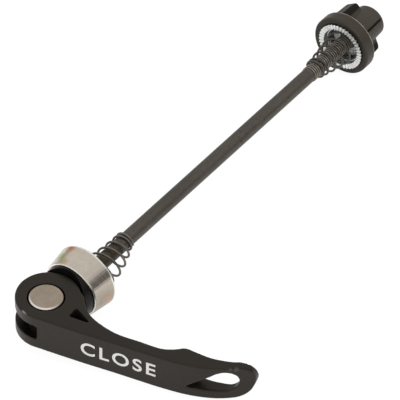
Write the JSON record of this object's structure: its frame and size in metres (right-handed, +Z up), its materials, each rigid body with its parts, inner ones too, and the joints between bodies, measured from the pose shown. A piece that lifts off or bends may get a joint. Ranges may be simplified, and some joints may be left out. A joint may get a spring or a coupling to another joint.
{
  "type": "quick-release skewer",
  "caption": "Bicycle quick-release skewer: a long thin rod with a cam lever and clamp cap at one end, a winged nut at the other and conical springs between.",
  "frame": {"origin": "on the rod's axis, midway between the two clamping faces", "axes": "+Y along the rod to the lever end, -Y to the nut end, +Z up as it lies on a table, the lever's arm towards -X"},
  "size_m": [0.0721, 0.1664, 0.0202],
  "materials": {
    "rod_steel": "black oxide, oiled",
    "pin_steel": "turned steel, satin",
    "lever_black": "black satin",
    "follower_plastic": "moulded",
    "cap_steel": "polished stainless",
    "spring_wire": "bright drawn wire",
    "nut_black": "black satin",
    "ring_zinc": "zinc plated"
  },
  "bodies": {
    "axle": {"rod": "rod_steel", "cross_pin": "pin_steel"},
    "lever": {"lever": "lever_black"},
    "cap": {"cam_follower": "follower_plastic", "clamp_cap": "cap_steel", "cap_spring": "spring_wire"},
    "nut_spring": {"nut_spring": "spring_wire"},
    "nut": {"wing_nut": "nut_black", "grip_ring": "ring_zinc"}
  },
  "joints": [
    {"name": "lever_hinge", "type": "hinge", "parent": "axle", "child": "lever", "pos_m": [0, 0.08007, 0], "axis": [0.0701, 0, -0.9975], "range_deg": [0, 160]},
    {"name": "cap_slide", "type": "slide", "parent": "axle", "child": "cap", "axis": [0, 1, 0], "range_m": [0, 0.0016]},
    {"name": "nut_travel", "type": "slide", "parent": "axle", "child": "nut_spring", "axis": [0, 1, 0], "range_m": [-0.0081, 0.0161]},
    {"name": "nut_turn", "type": "hinge", "parent": "nut_spring", "child": "nut", "pos_m": [0, -0.06098, 0], "axis": [0, 1, 0], "range_deg": [-3600, 7200]}
  ],
  "couplings": [
    {"joint": "cap_slide", "follows": "lever_hinge", "m_per_rad": 0.0005093},
    {"joint": "nut_travel", "follows": "nut_turn", "m_per_rad": 0.00012732}
  ]
}
